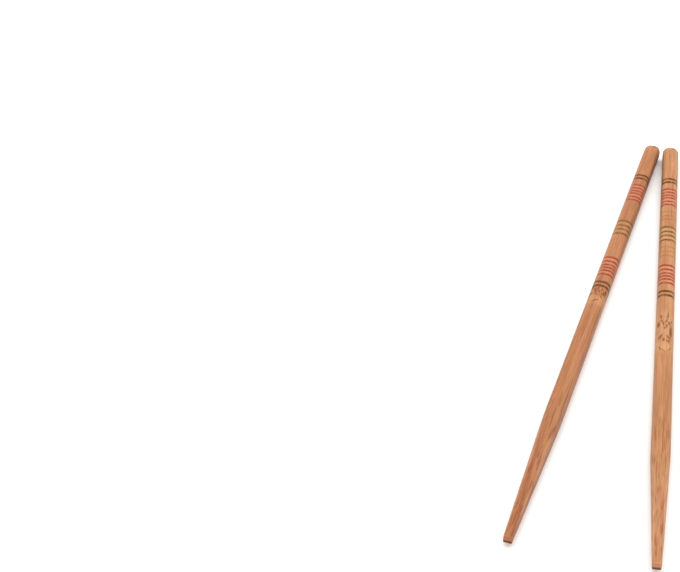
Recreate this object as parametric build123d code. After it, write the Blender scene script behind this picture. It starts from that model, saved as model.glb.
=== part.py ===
"""A pair of bamboo chopsticks lying open on a table, tips apart.

Each stick is one piece of bamboo: a long handle half of constant section, a
square softened by generous corner radii, then a straight taper down to a small
square tip that is simply cut off. The handle end is rounded over. Both sticks
come from the same blank, but each taper was rubbed down by hand, so one
shoulder is clear and the other is soft and starts further from the tip.

Millimetres, +Z up. Handles towards +Y, tips towards -Y, resting on Z = 0.
"""
import os

from build123d import *

# ---- the blank --------------------------------------------------------------
length = 240.0          # handle end to tip
shaft_width = 6.3       # across the flats of the handle half
shaft_corner = 2.5      # corner radius of the handle half's soft square
handle_round = 2.0      # rounding over of the handle end

# ---- the tip ----------------------------------------------------------------
tip_width = 2.85        # across the flats at the cut
tip_corner = 0.5        # corner radius of the square at the cut
tip_ease = 0.25         # broken edge round the cut

# ---- the two tapers: tip to shoulder, and the blend to either side of it -----
left_taper = 58.0
left_blend = 8.0
right_taper = 49.0
right_blend = 2.5

# ---- how the pair lies ------------------------------------------------------
open_angle = 8.9        # between the two sticks
handle_gap = 0.8        # between their flanks, level with the handle ends


def soft_square(width, corner, at):
    """A rounded square across the stick, at a distance from its tip."""
    across = Plane(origin=(0, at, 0), x_dir=(1, 0, 0), z_dir=(0, 1, 0))
    return across * RectangleRounded(width, width, corner)


def chopstick(taper, blend):
    """One stick along +Y, cut tip at the origin, lying on its flat underside."""
    # the taper is straight until the blend begins, the handle half is
    # constant from where the blend ends
    blend_start = taper - blend
    blend_end = taper + blend
    part_way = blend_start / taper
    start_width = tip_width + (shaft_width - tip_width) * part_way
    start_corner = tip_corner + (shaft_corner - tip_corner) * part_way

    cut = soft_square(tip_width, tip_corner, 0)
    start = soft_square(start_width, start_corner, blend_start)
    full = soft_square(shaft_width, shaft_corner, blend_end)

    stick = loft([cut, start], ruled=True)
    stick += loft([start, full], ruled=True)
    stick += extrude(full, amount=length - blend_end, dir=(0, 1, 0))

    # round the handle end over, then break the edge round the cut
    stick = fillet(stick.faces().sort_by(Axis.Y)[-1].edges(), handle_round)
    stick = fillet(stick.faces().sort_by(Axis.Y)[0].edges(), tip_ease)

    return Pos(0, 0, shaft_width / 2) * stick


def lay(stick, side):
    """Swing a stick open about its handle end; side is -1 left, +1 right."""
    handle_at_origin = Pos(0, -length, 0) * stick
    swung = Rot(0, 0, side * open_angle / 2) * handle_at_origin
    return Pos(side * (shaft_width + handle_gap) / 2, 0, 0) * swung


left = lay(chopstick(left_taper, left_blend), -1)
right = lay(chopstick(right_taper, right_blend), +1)

# put the middle of the pair's footprint over the origin
centre = Compound([left, right]).bounding_box().center()
left = Pos(-centre.X, -centre.Y, 0) * left
right = Pos(-centre.X, -centre.Y, 0) * right

os.makedirs("parts", exist_ok=True)
export_step(left, "parts/left_chopstick.step")
export_step(right, "parts/right_chopstick.step")
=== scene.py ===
# %% [markdown]
# # A pair of bamboo chopsticks
# Two sticks lie open on a table, handles together and tips apart. Each is one piece of
# bamboo: a soft square along the handle half, a hand-rubbed taper, and a small square tip.
# Painted rings go round the handle half. This lesson builds both sticks with ordinary
# modelling tools, and gives them a solid wood finish made only of nodes.

# %% Open the fixed frame
from math import radians

import bmesh
import bpy
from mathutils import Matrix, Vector


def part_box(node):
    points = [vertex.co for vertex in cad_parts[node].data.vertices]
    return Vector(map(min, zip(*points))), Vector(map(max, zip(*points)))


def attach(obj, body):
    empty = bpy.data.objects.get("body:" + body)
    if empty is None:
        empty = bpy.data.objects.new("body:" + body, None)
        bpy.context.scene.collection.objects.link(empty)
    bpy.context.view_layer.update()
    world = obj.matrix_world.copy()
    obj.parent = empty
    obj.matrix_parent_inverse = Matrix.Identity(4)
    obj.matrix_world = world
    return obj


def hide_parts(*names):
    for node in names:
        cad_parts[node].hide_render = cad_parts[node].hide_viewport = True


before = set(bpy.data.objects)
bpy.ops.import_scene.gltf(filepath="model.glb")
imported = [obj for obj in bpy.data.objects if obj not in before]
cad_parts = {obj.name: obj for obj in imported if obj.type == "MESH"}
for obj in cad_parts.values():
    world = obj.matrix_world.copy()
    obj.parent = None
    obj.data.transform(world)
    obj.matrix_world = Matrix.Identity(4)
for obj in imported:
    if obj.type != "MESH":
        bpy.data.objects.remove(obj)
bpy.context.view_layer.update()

MM = 0.001
print("CAD pieces:", sorted(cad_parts))

# %% [markdown]
# ## Where the viewer stands
# The pair is seen from in front and above, so the tips come towards the viewer and the
# handles go away. A long lens from about 0.6 m keeps the sticks nearly parallel-sided.
# The camera is turned with `to_track_quat`, which points its own -Z along a direction and
# keeps its own Y upright, so the horizon stays level.

# %% Camera
VIEW_FROM = Vector((0.02038, -0.48306, 0.35404))
VIEW_ALONG = Vector((-0.204639, 0.788836, -0.579536))

bpy.ops.object.select_all(action="DESELECT")
bpy.ops.object.camera_add(location=VIEW_FROM)
camera = bpy.context.object
camera.name = "viewer"
camera.rotation_euler = VIEW_ALONG.to_track_quat("-Z", "Y").to_euler()
camera.data.sensor_fit = "HORIZONTAL"
camera.data.sensor_width = 36.0
camera.data.lens = 88.354
camera.data.clip_start = 0.01
camera.data.clip_end = 20.0
bpy.context.scene.camera = camera
print("camera stands", round(VIEW_FROM.length, 3), "m from the middle of the pair")

# %% [markdown]
# ## A little node shorthand
# A finish made of nodes is a long chain of small sums. Writing each node as one call keeps
# the chain readable: every helper adds one node, plugs in what it is given (a number stays
# on the socket, a socket gets a link) and hands back its output.

# %% Node helpers
def tint(red, green, blue):
    """A colour as a paint chart gives it, 0 to 255, turned into Blender's linear light."""
    linear = []
    for part in (red, green, blue):
        value = part / 255
        linear.append(value / 12.92 if value <= 0.04045 else ((value + 0.055) / 1.055) ** 2.4)
    return (*linear, 1.0)


def plug(tree, socket, value):
    """Give a socket its value: a link when it comes from a node, a constant when it is a number."""
    if isinstance(value, bpy.types.NodeSocket):
        tree.links.new(value, socket)
    else:
        socket.default_value = value


def sum_up(tree, operation, first, second=0.0, third=0.0):
    """One Math node."""
    node = tree.nodes.new("ShaderNodeMath")
    node.operation = operation
    plug(tree, node.inputs[0], first)
    plug(tree, node.inputs[1], second)
    plug(tree, node.inputs[2], third)
    return node.outputs[0]


def ease(tree, value, low, high, bottom=0.0, top=1.0, way="SMOOTHSTEP"):
    """A soft step: bottom below low, top above high, and an S curve between."""
    node = tree.nodes.new("ShaderNodeMapRange")
    node.interpolation_type = way
    plug(tree, node.inputs["Value"], value)
    node.inputs["From Min"].default_value = low
    node.inputs["From Max"].default_value = high
    node.inputs["To Min"].default_value = bottom
    node.inputs["To Max"].default_value = top
    return node.outputs["Result"]


def blend(tree, amount, under, over, way="MIX"):
    """One Mix node for colours."""
    node = tree.nodes.new("ShaderNodeMix")
    node.data_type = "RGBA"
    node.blend_type = way
    plug(tree, node.inputs["Factor"], amount)
    plug(tree, node.inputs["A"], under)
    plug(tree, node.inputs["B"], over)
    return node.outputs["Result"]


def at(tree, across, along, height):
    """A point for a texture to be read at."""
    node = tree.nodes.new("ShaderNodeCombineXYZ")
    plug(tree, node.inputs[0], across)
    plug(tree, node.inputs[1], along)
    plug(tree, node.inputs[2], height)
    return node.outputs[0]


def stretch(tree, point, across, along, height, shift=(0.0, 0.0, 0.0)):
    """Scale a point before a texture reads it, so that its pattern comes out long and thin."""
    node = tree.nodes.new("ShaderNodeMapping")
    plug(tree, node.inputs["Vector"], point)
    node.inputs["Location"].default_value = shift
    node.inputs["Scale"].default_value = (across, along, height)
    return node.outputs[0]


def grain(tree, point, detail=2.0, roughness=0.5):
    """One Noise node, about 0.3 to 0.7 with 0.5 in the middle."""
    node = tree.nodes.new("ShaderNodeTexNoise")
    plug(tree, node.inputs["Vector"], point)
    node.inputs["Scale"].default_value = 1.0
    node.inputs["Detail"].default_value = detail
    node.inputs["Roughness"].default_value = roughness
    return node.outputs["Fac"]


print("node helpers ready")

# %% [markdown]
# ## A plain pale floor
# The sticks lie on plain white board. It is one wide sheet, which isn't part of the object.
# Its finish is a very pale matt white with the faintest mottling.

# %% Floor
bpy.ops.object.select_all(action="DESELECT")
bpy.ops.mesh.primitive_plane_add(size=20.0, location=(0, 0, 0))
floor = bpy.context.object
floor.name = "floor"
board = bpy.data.materials.new("white_board")
board.use_nodes = True
board_shader = board.node_tree.nodes["Principled BSDF"]
board_place = board.node_tree.nodes.new("ShaderNodeTexCoord")
board_mottle = grain(board.node_tree, stretch(board.node_tree, board_place.outputs["Object"], 9.0, 9.0, 9.0))
board_colour = blend(board.node_tree, board_mottle, tint(246, 245, 243), tint(244, 243, 241))
plug(board.node_tree, board_shader.inputs["Base Color"], board_colour)
board_shader.inputs["Roughness"].default_value = 0.9
board_shader.inputs["Specular IOR Level"].default_value = 0.1
floor.data.materials.append(board)
print("floor", round(floor.dimensions.x, 2), "m wide")

# %% [markdown]
# ## Soft studio light
# A product table is lit by large soft boxes, so shadows are faint and wood looks even. The
# sky of the scene gives light from everywhere, but less from low down, as dark cards beside
# the table do: the tops stay even and the flanks get a thin darker line. A narrow band at the
# horizon is white again, like paper that curves up where the floor ends, so that no grey edge
# shows in a low view. One large panel overhead adds the rest. The plain display transform
# keeps the paint chart colours as mixed.

# %% Lights
SKY_LOW = 0.42
SKY_HIGH = 1.25
SWEEP = 0.56

studio = bpy.data.worlds.new("studio")
bpy.context.scene.world = studio
studio.use_nodes = True
studio_sky = studio.node_tree.nodes["Background"]
sky_way = studio.node_tree.nodes.new("ShaderNodeTexCoord")
sky_parts = studio.node_tree.nodes.new("ShaderNodeSeparateXYZ")
studio.node_tree.links.new(sky_way.outputs["Generated"], sky_parts.inputs[0])
sky_light = ease(studio.node_tree, sky_parts.outputs["Z"], 0.0, 0.85, SKY_LOW, SKY_HIGH)
sweep_light = ease(studio.node_tree, sky_parts.outputs["Z"], 0.05, 0.09, SWEEP, 0.0)
sky_light = sum_up(studio.node_tree, "ADD", sky_light, sweep_light)
studio.node_tree.links.new(sky_light, studio_sky.inputs["Strength"])
studio_sky.inputs["Color"].default_value = (1.0, 1.0, 1.0, 1.0)


def soft_panel(name, place, aim, width, depth, power):
    """A rectangular soft box that looks at a point."""
    bpy.ops.object.select_all(action="DESELECT")
    bpy.ops.object.light_add(type="AREA", location=place)
    panel = bpy.context.object
    panel.name = name
    panel.data.shape = "RECTANGLE"
    panel.data.size = width
    panel.data.size_y = depth
    panel.data.energy = power
    panel.rotation_euler = (Vector(aim) - Vector(place)).to_track_quat("-Z", "Y").to_euler()
    return panel


soft_panel("overhead_panel", (-0.05, 0.10, 1.2), (0, 0, 0), 1.8, 1.8, 11.6)
bpy.context.scene.view_settings.view_transform = "Standard"

# %% [markdown]
# ## The two sticks, as a maker would list them
# Both sticks are cut from the same blank: 240 mm long, 6.3 mm across the flats, with the
# square's corners rounded to 2.5 mm. The tip is 2.85 mm across. Only the tapers differ,
# because each was rubbed down by hand. Every stick is modelled flat along +Y with its handle
# end at the origin, and laid in its place at the end: the same turn and place later tell the
# finish where "along the stick" is.

# %% Measures
LENGTH = 240.0 * MM
SHAFT = 6.3 * MM
SHAFT_CORNER = 2.5 * MM
HANDLE_ROUND = 2.0 * MM
TIP = 2.85 * MM
TIP_CORNER = 0.5 * MM
TIP_EASE = 0.25 * MM
CROWN_STEPS = ((0.25 * MM, 0.12 * MM), (0.20 * MM, 0.07 * MM))
END_AT = 0.22 * MM
RUBBED_OFF = 0.07 * MM
HANDLE_AT = (3.55 * MM, 119.637 * MM, 3.15 * MM)
HALF_OPEN = 4.45

sticks = {
    "left": {"side": -1, "taper": 58.0 * MM, "blend": 8.0 * MM},
    "right": {"side": 1, "taper": 49.0 * MM, "blend": 2.5 * MM},
}
for label, stick in sticks.items():
    stick["place"] = (stick["side"] * HANDLE_AT[0], HANDLE_AT[1], HANDLE_AT[2])
    stick["turn"] = (0.0, 0.0, radians(180.0 + stick["side"] * HALF_OPEN))
    print(label, "handle end at", [round(v / MM, 3) for v in stick["place"]], "mm")

# %% [markdown]
# ## Ribs across the stick
# The section changes from a soft square to a crisper small one, and no single scaling does
# that, so the stick is built like a boat: ribs first, skin after. A rib is a plane primitive
# stood across the stick. Bevelling its four corner points with the section's own radius
# rounds it, and removing its face leaves an open outline.

# %% Rib helper
CORNER_STEPS = 10
BLEND_RIBS = 8
RIB_CUT = 2.5 * MM


def add_rib(width, corner, along):
    """Stand one rounded-square outline across the stick (edit mode)."""
    bpy.ops.mesh.primitive_plane_add(size=width, location=(0, along, 0), rotation=(radians(90), 0, 0))
    bpy.ops.mesh.bevel(offset=corner, segments=CORNER_STEPS, profile=0.5, affect="VERTICES")
    bpy.ops.mesh.delete(type="ONLY_FACE")


def rib_plan(taper, blend_length):
    """Width, corner radius and place of each rib, from the handle end to the tip."""
    shoulder = LENGTH - taper
    plan = [(SHAFT, SHAFT_CORNER, END_AT)]
    for step in range(BLEND_RIBS + 1):
        share = step / BLEND_RIBS
        along = shoulder - blend_length + 2 * blend_length * share
        fallen = share * share * blend_length / taper
        width = SHAFT - (SHAFT - TIP) * fallen
        corner = SHAFT_CORNER - (SHAFT_CORNER - TIP_CORNER) * fallen
        plan.append((width, corner, along))
    plan.append((TIP, TIP_CORNER, LENGTH))
    return plan


for label, stick in sticks.items():
    stick["plan"] = rib_plan(stick["taper"], stick["blend"])
    shoulder_rib = stick["plan"][1 + BLEND_RIBS // 2]
    print(label, "has", len(stick["plan"]), "ribs; shoulder width", round(shoulder_rib[0] / MM, 3), "mm")

# %% [markdown]
# ## Skin over the ribs
# Ribs are joined two at a time with Bridge, which also cuts the new faces across, so that the
# skin is fine enough to be rubbed uneven later. The flats of the ribs get cuts of their own
# first. Each outline is picked by its distance along the stick.

# %% Skin helpers
def pick_edges(mesh, wanted):
    """Select only the edges that a test accepts (edit mode)."""
    bpy.ops.mesh.select_all(action="DESELECT")
    sheet = bmesh.from_edit_mesh(mesh)
    for edge in sheet.edges:
        if wanted(edge):
            edge.select_set(True)
    sheet.select_flush_mode()
    bmesh.update_edit_mesh(mesh)


def lies_at(edge, along):
    """Whether both ends of an edge are at this distance along the stick."""
    return all(abs(point.co.y - along) < 1e-6 for point in edge.verts)


def is_flat_side(edge):
    """Whether an outline's edge is one of its four straight sides."""
    run = edge.verts[0].co - edge.verts[1].co
    return abs(run.y) < 1e-7 and min(abs(run.x), abs(run.z)) < 1e-7


def skin_stick(name, plan):
    """Model one open tube along +Y through the planned ribs."""
    bpy.ops.object.select_all(action="DESELECT")
    bpy.ops.mesh.primitive_plane_add(size=SHAFT, location=(0, 0, 0))
    piece = bpy.context.object
    piece.name = name
    bpy.ops.object.mode_set(mode="EDIT")
    bpy.ops.mesh.select_mode(type="VERT")
    bpy.ops.mesh.select_all(action="SELECT")
    bpy.ops.mesh.delete(type="VERT")
    for width, corner, along in plan:
        add_rib(width, corner, along)
    bpy.ops.mesh.select_mode(type="EDGE")
    pick_edges(piece.data, is_flat_side)
    bpy.ops.mesh.subdivide(number_cuts=3)
    for start, stop in zip(plan[:-1], plan[1:]):
        span = stop[2] - start[2]
        cuts = max(0, round(span / RIB_CUT) - 1)
        pick_edges(piece.data, lambda edge: lies_at(edge, start[2]) or lies_at(edge, stop[2]))
        bpy.ops.mesh.bridge_edge_loops(type="SINGLE", number_cuts=cuts, interpolation="LINEAR")
    bpy.ops.object.mode_set(mode="OBJECT")
    return piece


# %% Skin both sticks
for label, stick in sticks.items():
    stick["piece"] = skin_stick(label + "_stick", stick["plan"])
    print(stick["piece"].name, len(stick["piece"].data.polygons), "faces")

# %% [markdown]
# ## Closing the two ends
# The handle end is filled and its rim bevelled round, as if rolled on sandpaper. Two insets,
# each pushed a little outwards, crown the middle, because hand sanding never leaves a truly
# flat end. The tip is simply sawn off: filled, with a broken edge only a quarter of a
# millimetre wide.

# %% End helpers
HANDLE_STEPS = 10
TIP_STEPS = 4


def close_end(mesh, along):
    """Fill one open end (edit mode)."""
    pick_edges(mesh, lambda edge: lies_at(edge, along))
    bpy.ops.mesh.edge_face_add()


def round_rim(mesh, along, radius, steps):
    """Bevel the rim of a filled end."""
    pick_edges(mesh, lambda edge: lies_at(edge, along))
    bpy.ops.mesh.bevel(offset=radius, segments=steps, profile=0.5, affect="EDGES")


def pick_end_face(mesh, along):
    """Select only the flat face that closes an end."""
    bpy.ops.mesh.select_mode(type="FACE")
    bpy.ops.mesh.select_all(action="DESELECT")
    sheet = bmesh.from_edit_mesh(mesh)
    sheet.faces.ensure_lookup_table()
    flat = [face for face in sheet.faces if all(abs(v.co.y - along) < 1e-6 for v in face.verts)]
    for face in flat:
        face.select_set(True)
    bmesh.update_edit_mesh(mesh)
    return len(flat)


# %% Close both sticks
for label, stick in sticks.items():
    piece = stick["piece"]
    bpy.ops.object.select_all(action="DESELECT")
    bpy.context.view_layer.objects.active = piece
    piece.select_set(True)
    bpy.ops.object.mode_set(mode="EDIT")
    close_end(piece.data, END_AT)
    round_rim(piece.data, END_AT, HANDLE_ROUND, HANDLE_STEPS)
    faces = pick_end_face(piece.data, END_AT)
    print(label, "handle end faces", faces)
    for inward, outward in CROWN_STEPS:
        bpy.ops.mesh.inset(thickness=inward, depth=0.0)
        bpy.ops.transform.translate(value=(0, -outward, 0))
    bpy.ops.mesh.select_mode(type="EDGE")
    close_end(piece.data, LENGTH)
    round_rim(piece.data, LENGTH, TIP_EASE, TIP_STEPS)
    pick_end_face(piece.data, LENGTH)
    bpy.ops.mesh.inset(thickness=0.2 * MM, depth=0.0)
    bpy.ops.mesh.select_all(action="SELECT")
    bpy.ops.mesh.normals_make_consistent(inside=False)
    bpy.ops.object.mode_set(mode="OBJECT")
    print(label, "closed:", len(piece.data.polygons), "faces")

# %% [markdown]
# ## Rubbed by hand
# A sanded stick is never quite even: its flats waver by a few hundredths of a millimetre over
# several centimetres. A Displace modifier with a cloud texture does this. The texture is read
# through an empty stretched along the stick, so the waves are long. The empty stands in another
# place for each stick, so that no two are alike. A middle level of one means that wood is only
# ever taken away, never added.

# %% Uneven surface
WAVE_ACROSS = 5.0 * MM
WAVE_ALONG = 30.0 * MM
RULER_X = 13.0 * MM
RULER_Y = 20.0 * MM

for label, stick in sticks.items():
    bpy.ops.object.select_all(action="DESELECT")
    bpy.ops.object.empty_add(location=(RULER_X * stick["side"], RULER_Y * stick["side"], 0))
    ruler = bpy.context.object
    ruler.scale = (WAVE_ACROSS, WAVE_ALONG, WAVE_ACROSS)
    bpy.context.view_layer.update()
    waves = bpy.data.textures.new(label + "_rubbing", "CLOUDS")
    waves.noise_scale = 1.0
    waves.noise_depth = 1
    piece = stick["piece"]
    bpy.context.view_layer.objects.active = piece
    rub = piece.modifiers.new("rub", "DISPLACE")
    rub.texture = waves
    rub.texture_coords = "OBJECT"
    rub.texture_coords_object = ruler
    rub.strength = RUBBED_OFF
    rub.mid_level = 1.0
    bpy.ops.object.modifier_apply(modifier="rub")
    bpy.data.objects.remove(ruler)
    ys = [v.co.y for v in piece.data.vertices]
    xs = [v.co.x for v in piece.data.vertices]
    print(label, "length", round((max(ys) - min(ys)) / MM, 3), "width", round((max(xs) - min(xs)) / MM, 3))

# %% [markdown]
# ## Lay the sticks down
# The object is turned and moved to its place, and the place is then applied, so that the
# object itself sits at the origin and all of its place is in its mesh, like the CAD pieces.

# %% Lay down and shade
for label, stick in sticks.items():
    piece = stick["piece"]
    bpy.ops.object.select_all(action="DESELECT")
    bpy.context.view_layer.objects.active = piece
    piece.select_set(True)
    piece.location = stick["place"]
    piece.rotation_euler = stick["turn"]
    bpy.ops.object.transform_apply(location=True, rotation=True, scale=True)
    bpy.ops.object.shade_smooth_by_angle(angle=radians(40))
    low = [min(v.co[axis] for v in piece.data.vertices) for axis in range(3)]
    high = [max(v.co[axis] for v in piece.data.vertices) for axis in range(3)]
    node_low, node_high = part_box(label + "_chopstick")
    print(label, "piece", [round(v / MM, 3) for v in (*low, *high)])
    print(label, "CAD  ", [round(v / MM, 3) for v in (*node_low, *node_high)])

# %% [markdown]
# ## Along, across and up
# The finish must follow the wood, not the table. A Mapping node of the Texture kind undoes a
# turn and a place: given the stick's own, it turns the object's coordinates into millimetres
# across, along and up the stick, with zero in the middle of the handle end.

# %% Coordinates in the stick
def stick_point(tree, stick):
    """Millimetres in the stick's own directions."""
    place = tree.nodes.new("ShaderNodeTexCoord")
    undo = tree.nodes.new("ShaderNodeMapping")
    undo.vector_type = "TEXTURE"
    tree.links.new(place.outputs["Object"], undo.inputs["Vector"])
    undo.inputs["Location"].default_value = stick["place"]
    undo.inputs["Rotation"].default_value = stick["turn"]
    undo.inputs["Scale"].default_value = (MM, MM, MM)
    return undo.outputs[0]


def parts_of(tree, point):
    """Across, along and height as three separate values."""
    node = tree.nodes.new("ShaderNodeSeparateXYZ")
    tree.links.new(point, node.inputs[0])
    return node.outputs[0], node.outputs[1], node.outputs[2]


print("coordinates ready")

# %% [markdown]
# ## What bamboo is made of
# Bamboo has no rings like a tree. It is a pale ground full of dark fibre bundles, each under
# half a millimetre thick, that run the whole length. On a flat side they show as long fine
# lines, on a taper they are cut at a slant and show as short strong streaks, and on a sawn
# end as dots. A solid texture gives all three at once: cells in the cross-section, stretched
# very long.

# %% Bundles, fibres and open vessels
def wander(tree, point, seed):
    """Let the grain drift a little from side to side along the stick."""
    across, along, height = parts_of(tree, point)
    drift = grain(tree, stretch(tree, point, 0.10, 0.016, 0.10, (seed, 0, 0)), 1.0)
    sway = grain(tree, stretch(tree, point, 0.10, 0.016, 0.10, (seed + 40, 0, 0)), 1.0)
    new_across = sum_up(tree, "MULTIPLY_ADD", drift, 2.6, across)
    new_height = sum_up(tree, "MULTIPLY_ADD", sway, 2.6, height)
    return at(tree, new_across, along, new_height)


def bundle_marks(tree, point, seed, spacing, core, edge):
    """Fibre bundles so many millimetres apart: one inside each, zero between."""
    cell = tree.nodes.new("ShaderNodeTexVoronoi")
    cell.feature = "F1"
    thin = 1.0 / spacing
    tree.links.new(stretch(tree, point, thin, 0.01, thin, (seed, seed, 0)), cell.inputs["Vector"])
    cell.inputs["Scale"].default_value = 1.0
    cell.inputs["Randomness"].default_value = 0.95
    return ease(tree, cell.outputs["Distance"], core, edge, 1.0, 0.0)


def fibre_marks(tree, point, seed):
    """Fine fibres between the bundles."""
    return grain(tree, stretch(tree, point, 3.2, 0.045, 3.2, (seed, 0, seed)), 3.0, 0.65)


def vessel_marks(tree, point, seed):
    """Short dark dashes, where a vessel is cut open."""
    speck = grain(tree, stretch(tree, point, 1.7, 0.14, 1.7, (seed, 3, seed)), 2.0, 0.5)
    return ease(tree, speck, 0.50, 0.64)


print("bundle, fibre and vessel helpers ready")

# %% [markdown]
# ## The growth joint
# Each stick holds one growth joint of the cane, where bundles cross and turn. It shows as a
# pale patch with short dark slits, and it isn't at the same place in both sticks. The larger
# slits on the upper side are placed one by one, as stretched soft balls that the surface cuts
# through. Smaller ones are scattered all round by a cell texture.

# %% Growth joint
def window(tree, along, start, stop, soft):
    """One between start and stop along the stick, fading over a soft length at each side."""
    rise = ease(tree, along, start - soft, start + soft)
    fall = ease(tree, along, stop - soft, stop + soft, 1.0, 0.0)
    return sum_up(tree, "MULTIPLY", rise, fall)


def ragged(tree, point, amount, scale):
    """Shake a point a little, so that marks read at it get uneven edges."""
    shake = tree.nodes.new("ShaderNodeTexNoise")
    tree.links.new(stretch(tree, point, scale, scale * 0.4, scale), shake.inputs["Vector"])
    shake.inputs["Scale"].default_value = 1.0
    shake.inputs["Detail"].default_value = 2.0
    push = tree.nodes.new("ShaderNodeVectorMath")
    push.operation = "MULTIPLY_ADD"
    tree.links.new(shake.outputs["Color"], push.inputs[0])
    push.inputs[1].default_value = (amount, 2 * amount, amount)
    tree.links.new(point, push.inputs[2])
    return push.outputs[0]


SLIT_DEPTH = 2.0
SLIT_HEIGHT = 2.6


def slit(tree, point, across, along, width, length, lean):
    """One dark slit on the upper side, in millimetres, leaning by some degrees."""
    ball = tree.nodes.new("ShaderNodeMapping")
    ball.vector_type = "TEXTURE"
    tree.links.new(point, ball.inputs["Vector"])
    ball.inputs["Location"].default_value = (across, along, SLIT_HEIGHT)
    ball.inputs["Rotation"].default_value = (0.0, 0.0, radians(lean))
    ball.inputs["Scale"].default_value = (width * 0.72, length * 0.84, SLIT_DEPTH)
    reach = tree.nodes.new("ShaderNodeVectorMath")
    reach.operation = "LENGTH"
    tree.links.new(ball.outputs[0], reach.inputs[0])
    return ease(tree, reach.outputs["Value"], 0.30, 1.10, 1.0, 0.0)


def scattered_slits(tree, point, seed, fill):
    """Small slits all round; a lower fill lets more of them show."""
    cell = tree.nodes.new("ShaderNodeTexVoronoi")
    cell.feature = "F1"
    tree.links.new(stretch(tree, point, 0.95, 0.33, 0.95, (seed, seed, seed)), cell.inputs["Vector"])
    cell.inputs["Scale"].default_value = 1.0
    dash = ease(tree, cell.outputs["Distance"], 0.14, 0.36, 1.0, 0.0)
    some = ease(tree, grain(tree, stretch(tree, point, 0.7, 0.35, 0.7, (seed, 9, 0)), 1.0), fill, fill + 0.1)
    return sum_up(tree, "MULTIPLY", dash, some)


print("growth joint helpers ready")

# %% [markdown]
# ## Painted rings
# The rings are rolled on with a thin brush while the stick turns: two dark ones, six red, three
# faint yellow, four green, three yellow, six red and two dark. Each colour is one colour ramp
# read along the stick. A ring is a small peak in the ramp, so the value says how near the
# brush's middle is, and the fibres then decide how far the paint has crept.

# %% Ring patterns in mm from the handle end
RINGS = {
    "dark": [26.0, 28.4, 103.3, 105.8],
    "red_near": [33.65, 36.0, 38.2, 40.1, 42.7, 44.9],
    "red_far": [86.8, 89.5, 91.9, 93.7, 95.7, 98.1],
    "yellow": [50.0, 53.0, 55.3, 74.6, 77.4, 80.3],
    "green": [61.0, 64.1, 66.8, 69.8],
}
RING_REACH = 120.0
BRUSH = 0.98


def ring_ramp(tree, along, places):
    """How near the middle of a painted ring is: one on it, zero a brush away."""
    share = sum_up(tree, "DIVIDE", along, RING_REACH)
    ramp = tree.nodes.new("ShaderNodeValToRGB")
    tree.links.new(share, ramp.inputs["Fac"])
    stops = ramp.color_ramp
    stops.interpolation = "LINEAR"
    while len(stops.elements) > 1:
        stops.elements.remove(stops.elements[-1])
    stops.elements[0].position = 0.0
    stops.elements[0].color = (0, 0, 0, 1)
    for place in places:
        for offset, value in ((-BRUSH, 0.0), (0.0, 1.0), (BRUSH, 0.0)):
            stop = stops.elements.new((place + offset) / RING_REACH)
            stop.color = (value, value, value, 1)
    return ramp.outputs["Color"]


print({name: len(places) for name, places in RINGS.items()})

# %% [markdown]
# ## The colours and the marks of each stick
# The left stick is a little darker and redder than the right one, and both darken slightly
# towards the tip, where sanding has opened more fibre. Each paint has a colour, and the two
# values between which the brush's pressure turns into cover: fibres lift it or hold it back.
# The slits of each growth joint are listed as across, along, width, length and lean,
# and the last of each list is a dark fleck at the handle end. How strongly each kind of mark
# shows is the same on both sticks.

# %% Colours and marks
TINTS = {
    "left": {"pale": (177, 123, 82), "warm": (163, 104, 66), "blush": (183, 118, 86),
             "bundle": (125, 68, 35), "vessel": (121, 63, 29), "patch": (188, 137, 93),
             "slit": (108, 48, 6), "end": (182, 112, 82), "straw": (176, 124, 68)},
    "right": {"pale": (187, 138, 95), "warm": (174, 119, 77), "blush": (191, 129, 97),
              "bundle": (138, 81, 44), "vessel": (136, 75, 39), "patch": (191, 144, 101),
              "slit": (120, 56, 8), "end": (200, 136, 102), "straw": (189, 141, 88)},
}
PAINTS = {
    "dark": ((94, 46, 0), 0.16, 0.48),
    "red_near": ((132, 40, 4), 0.22, 0.58),
    "red_far": ((132, 40, 4), 0.22, 0.58),
    "yellow": ((144, 84, 30), 0.30, 0.75),
    "green": ((112, 64, 2), 0.16, 0.50),
}
WASHES = {
    "red": ((216, 130, 106), [(33.0, 45.6), (86.1, 98.8)]),
    "green": ((186, 154, 104), [(60.3, 70.5)]),
}
SHOWS = {"patch": 0.60, "coarse": 0.72, "fine": 0.42, "vessels": 0.66, "slits": 0.90}
# Pale tint for the taper's edges: a painted highlight where the rounded edges catch the light.
EDGE_HIGHLIGHT_TINT = (216, 172, 138)
# Dark tint for the flanks near the handle: painted shade.
FLANK_SHADE_TINT = (96, 58, 36)
SANDED_RIM = (218, 164, 124)
END_GRAIN = (116, 90, 68)
TIP_SHADE = (84, 54, 34)
# Dark tint for the tip's lower edge: painted shade under the tip.
sticks["left"].update(
    seed=11.0, open_at=172.0, ageing=0.34, scatter=0.52, joint=(106.5, 113.0), patch=(111.8, 117.5),
    paint={"dark": 1.00, "red_near": 0.82, "red_far": 0.88, "yellow": 0.12, "green": 0.88},
    wash={"red": 0.29, "green": 0.18},
    slits=[(-1.9, 110.1, 0.45, 2.2, 8), (-1.3, 110.7, 0.4, 1.6, 10), (-2.5, 109.0, 0.6, 2.8, 0),
           (-1.1, 108.0, 0.4, 2.2, -6), (-0.3, 109.3, 0.4, 2.2, 8), (0.4, 107.7, 0.4, 2.0, -8),
           (1.0, 109.7, 0.45, 2.2, 6), (0.1, 111.6, 0.4, 1.8, 80), (1.6, 108.2, 0.45, 2.4, 0),
           (2.4, 107.0, 0.7, 2.4, 0), (2.3, 111.3, 0.45, 2.4, -22), (-1.5, 112.3, 0.4, 1.6, 30),
           (0.2, 115.2, 0.6, 2.6, -48), (-0.8, 2.1, 1.4, 1.4, 0)],
)
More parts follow.
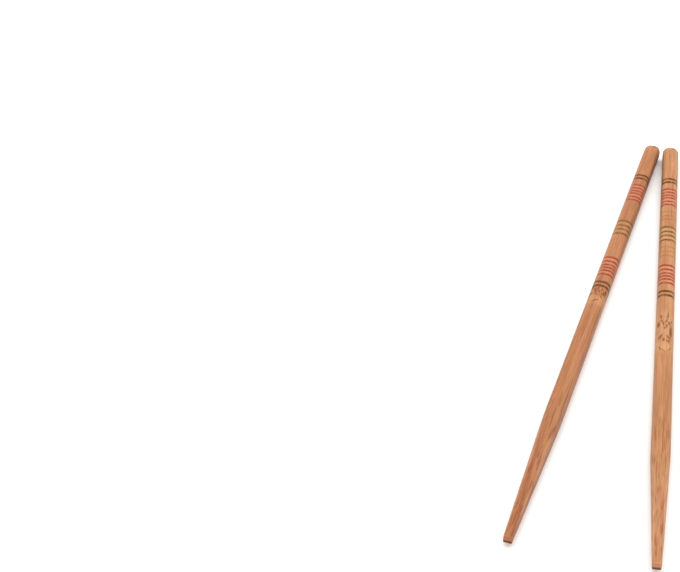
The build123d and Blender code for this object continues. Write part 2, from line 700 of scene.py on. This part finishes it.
sticks["right"].update(
    seed=47.0, open_at=178.0, ageing=0.34, scatter=0.46, joint=(118.0, 134.0), patch=(116.0, 139.0),
    paint={"dark": 1.00, "red_near": 0.90, "red_far": 0.94, "yellow": 0.50, "green": 0.96},
    wash={"red": 0.34, "green": 0.46},
    slits=[(-0.83, 118.3, 0.5, 3.2, 0), (-1.28, 122.8, 0.8, 2.0, 10), (-0.21, 121.5, 0.7, 2.4, -20),
           (-0.35, 124.4, 0.7, 2.0, 0), (0.75, 123.0, 0.7, 2.0, 10), (1.34, 121.5, 0.6, 1.8, 0),
           (1.52, 119.1, 0.6, 2.2, 0), (2.35, 123.3, 0.9, 2.4, 0), (-1.8, 127.4, 1.0, 6.4, 0),
           (-1.06, 130.9, 0.8, 2.4, 25), (-0.96, 133.2, 0.7, 2.2, 25), (0.56, 132.4, 0.8, 1.8, 0),
           (1.59, 130.8, 0.8, 2.8, -20), (-1.5, 137.6, 0.3, 2.6, -30), (0.5, 138.6, 0.3, 2.6, 40),
           (1.7, 137.4, 0.3, 2.4, 20), (-0.9, 2.1, 1.3, 1.4, 0)],
)
for label, stick in sticks.items():
    print(label, "growth joint", stick["joint"], "mm from the handle end,", len(stick["slits"]), "slits")

# %% [markdown]
# ## The bamboo finish
# Everything is now put together in the order in which it happens to the real stick: the
# ground wood, its bundles and vessels, painted highlights on the taper's edges and painted
# shade on the flanks, the sawn ends with painted shade under the tip, and the slits of the
# growth joint, then washes and rings of paint that the fibres break up, and a thin satin
# lacquer on top. Both sticks use the same recipe with their own colours and their own seed.
#
# The painted light follows the shape. The four edges of the taper get a pale painted
# highlight. How near a point is to an edge comes from its distances across and up, added
# together: on a square they are largest in the corners. The flanks near the handle get a
# little painted shade.

# %% Ground and grain
def ground_wood(tree, stick, tints, point, grown, along):
    """Broad bands of a paler and a warmer tone, with a blush here and there."""
    seed = stick["seed"]
    band = grain(tree, stretch(tree, grown, 0.42, 0.010, 0.42, (seed, 0, 0)), 2.0)
    ground = blend(tree, ease(tree, band, 0.36, 0.64), tint(*tints["pale"]), tint(*tints["warm"]))
    cloud = grain(tree, stretch(tree, point, 0.30, 0.06, 0.30, (seed + 5, 0, 0)), 2.0)
    ground = blend(tree, ease(tree, cloud, 0.48, 0.72, 0.0, 0.6), ground, tint(*tints["blush"]))
    haze = grain(tree, stretch(tree, point, 0.34, 0.09, 0.34, (seed + 15, 0, 0)), 2.0)
    ground = blend(tree, ease(tree, haze, 0.50, 0.70, 0.0, 0.38), ground, tint(*tints["straw"]))
    aged = ease(tree, along, 20.0, 250.0, 0.0, stick["ageing"])
    return blend(tree, aged, ground, tint(*tints["bundle"]))


def grain_marks(tree, stick, grown, along):
    """Bundles, fine bundles, fibres and vessels as four values."""
    seed = stick["seed"]
    broken = grain(tree, stretch(tree, grown, 0.9, 0.08, 0.9, (seed, 0, 0)), 1.0)
    broken = ease(tree, broken, 0.38, 0.60, 0.2, 1.0)
    coarse = sum_up(tree, "MULTIPLY", bundle_marks(tree, grown, seed, 1.15, 0.10, 0.34), broken)
    fine = bundle_marks(tree, grown, seed + 7, 0.52, 0.12, 0.46)
    fibres = fibre_marks(tree, grown, seed)
    opened = ease(tree, along, stick["open_at"] - 12, stick["open_at"] + 12, 0.25, 1.0)
    vessels = sum_up(tree, "MULTIPLY", vessel_marks(tree, grown, seed), opened)
    return coarse, fine, fibres, vessels


print("ground and grain ready")

# %% Growth joint and ends
RAGGED = 0.28


def joint_marks(tree, stick, point, along):
    """All slits of the growth joint as one value."""
    shaken = ragged(tree, point, RAGGED, 2.2)
    slits = scattered_slits(tree, shaken, stick["seed"], stick["scatter"])
    slits = sum_up(tree, "MULTIPLY", slits, window(tree, along, *stick["joint"], 1.2))
    for across, place, width, length, lean in stick["slits"]:
        # on average the shake carries points half its amount across and all of it along
        one = slit(tree, shaken, across + RAGGED / 2, place + RAGGED, width, length, lean)
        slits = sum_up(tree, "MAXIMUM", slits, one)
    return slits


def edge_highlight_and_flank_shade(tree, stick, wood, point, across, along, height):
    """Painted highlights where four edges run down the taper, and painted shade on the flanks near the
    handle.
    """
    side = sum_up(tree, "ABSOLUTE", across)
    shoulder = (LENGTH - stick["taper"]) / MM
    tip = LENGTH / MM
    width = ease(tree, along, shoulder, tip, SHAFT / MM, TIP / MM, "LINEAR")
    corner = ease(tree, along, shoulder, tip, SHAFT_CORNER / MM, TIP_CORNER / MM, "LINEAR")
    reach = sum_up(tree, "ADD", side, sum_up(tree, "ABSOLUTE", height))
    reach = sum_up(tree, "SUBTRACT", reach, width)
    # Pale tint along the taper's four edges: a painted highlight, strongest down the taper.
    edge = ease(tree, sum_up(tree, "DIVIDE", reach, corner), -0.80, -0.63)
    patchy = grain(tree, stretch(tree, point, 0.5, 0.12, 0.5, (stick["seed"], 5, 0)), 2.0)
    patchy = ease(tree, patchy, 0.30, 0.60, 0.45, 1.0)
    wear_and_highlight = ease(tree, along, shoulder - 10.0, shoulder + 30.0, 0.05, 0.34)
    wear_and_highlight = sum_up(tree, "MULTIPLY", sum_up(tree, "MULTIPLY", wear_and_highlight, edge), patchy)
    wood = blend(tree, wear_and_highlight, wood, tint(*EDGE_HIGHLIGHT_TINT))
    # Darker flanks near the handle: painted shade where the sides get less light.
    flank_shade = sum_up(tree, "MULTIPLY", ease(tree, side, 2.32, 2.98), ease(tree, along, 30.0, 110.0, 0.55, 0.08))
    return blend(tree, sum_up(tree, "MULTIPLY", flank_shade, patchy), wood, tint(*FLANK_SHADE_TINT))


def sawn_ends(tree, wood, tints, along, height):
    """A sawn tip with painted shade at its lower edge, and a handle end sanded pale round darker end grain.
    """
    tip = ease(tree, along, LENGTH / MM - 0.60, LENGTH / MM - 0.10)
    wood = blend(tree, sum_up(tree, "MULTIPLY", tip, 0.60), wood, tint(*tints["end"]))
    # Darker lower edge of the sawn tip: painted shade under the tip, which hovers over the floor.
    underside_shade = sum_up(tree, "MULTIPLY", tip, ease(tree, height, -0.70, -0.10, 0.94, 0.0))
    wood = blend(tree, underside_shade, wood, tint(*TIP_SHADE))
    wear_and_highlight = ease(tree, along, 2.0, 4.5, 0.22, 0.0)
    wood = blend(tree, wear_and_highlight, wood, tint(*SANDED_RIM))
    end_grain = ease(tree, along, 0.80, 2.90, 0.85, 0.0)
    return blend(tree, end_grain, wood, tint(*END_GRAIN))


print("joint and ends ready")

# %% Paint
def paint_rings(tree, stick, wood, point, along, fibres):
    """Washes and rings over the wood; also how much paint there is."""
    seed = stick["seed"]
    creep = sum_up(tree, "MULTIPLY_ADD", fibres, 0.8, -0.40)
    thin = grain(tree, stretch(tree, point, 0.8, 0.5, 0.8, (seed, 1, 0)), 2.0)
    thin = ease(tree, thin, 0.30, 0.58, 0.60, 1.0)
    for name, (colour, spans) in WASHES.items():
        for start, stop in spans:
            wash = sum_up(tree, "MULTIPLY", window(tree, along, start, stop, 0.6), stick["wash"][name])
            wood = blend(tree, sum_up(tree, "MULTIPLY", wash, thin), wood, tint(*colour))
    painted = None
    for name, places in RINGS.items():
        near = sum_up(tree, "ADD", ring_ramp(tree, along, places), creep)
        colour, low, high = PAINTS[name]
        cover = ease(tree, near, low, high, 0.0, stick["paint"][name])
        cover = sum_up(tree, "MULTIPLY", cover, thin)
        painted = cover if painted is None else sum_up(tree, "MAXIMUM", painted, cover)
        wood = blend(tree, cover, wood, tint(*colour))
    return wood, painted


print("paint ready")

# %% The whole recipe
def bamboo(label, stick):
    """The solid finish of one stick."""
    finish = bpy.data.materials.new(label + "_bamboo_wood")
    finish.use_nodes = True
    tree = finish.node_tree
    shader = tree.nodes["Principled BSDF"]
    tints = TINTS[label]
    point = stick_point(tree, stick)
    across, along, height = parts_of(tree, point)
    grown = wander(tree, point, stick["seed"])

    wood = ground_wood(tree, stick, tints, point, grown, along)
    coarse, fine, fibres, vessels = grain_marks(tree, stick, grown, along)
    patch = window(tree, along, *stick["patch"], 1.6)
    wood = blend(tree, sum_up(tree, "MULTIPLY", patch, SHOWS["patch"]), wood, tint(*tints["patch"]))
    wood = blend(tree, sum_up(tree, "MULTIPLY", coarse, SHOWS["coarse"]), wood, tint(*tints["bundle"]))
    wood = blend(tree, sum_up(tree, "MULTIPLY", fine, SHOWS["fine"]), wood, tint(*tints["bundle"]))
    light = ease(tree, fibres, 0.25, 0.75, 0.80, 1.20)
    wood = blend(tree, 1.0, wood, at(tree, light, light, light), "MULTIPLY")
    wood = blend(tree, sum_up(tree, "MULTIPLY", vessels, SHOWS["vessels"]), wood, tint(*tints["vessel"]))
    wood = edge_highlight_and_flank_shade(tree, stick, wood, point, across, along, height)
    wood = sawn_ends(tree, wood, tints, along, height)
    slits = joint_marks(tree, stick, point, along)
    wood = blend(tree, sum_up(tree, "MULTIPLY", slits, SHOWS["slits"]), wood, tint(*tints["slit"]))
    wood, painted = paint_rings(tree, stick, wood, point, along, fibres)
    tree.links.new(wood, shader.inputs["Base Color"])

    # satin lacquer, a little duller on bundles and fibres
    rough = sum_up(tree, "MULTIPLY_ADD", coarse, 0.10, 0.44)
    rough = sum_up(tree, "MULTIPLY_ADD", fibres, 0.12, rough)
    tree.links.new(rough, shader.inputs["Roughness"])
    shader.inputs["Specular IOR Level"].default_value = 0.16
    shader.inputs["Coat Weight"].default_value = 0.04
    shader.inputs["Coat Roughness"].default_value = 0.30

    # relief: fibres stand proud, vessels and slits are open, paint lies on top
    relief = sum_up(tree, "MULTIPLY_ADD", coarse, 0.35, fibres)
    relief = sum_up(tree, "MULTIPLY_ADD", vessels, -0.8, relief)
    relief = sum_up(tree, "MULTIPLY_ADD", slits, -0.9, relief)
    relief = sum_up(tree, "MULTIPLY_ADD", painted, 0.35, relief)
    bump = tree.nodes.new("ShaderNodeBump")
    bump.inputs["Strength"].default_value = 0.5
    bump.inputs["Distance"].default_value = 0.05 * MM
    tree.links.new(relief, bump.inputs["Height"])
    tree.links.new(bump.outputs["Normal"], shader.inputs["Normal"])
    return finish


# %% Finish the pieces and attach them to the root
for label, stick in sticks.items():
    piece = stick["piece"]
    piece.data.materials.append(bamboo(label, stick))
    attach(piece, "root")
    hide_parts(label + "_chopstick")
    print(piece.name, "has", len(piece.data.materials[0].node_tree.nodes), "nodes in its finish")
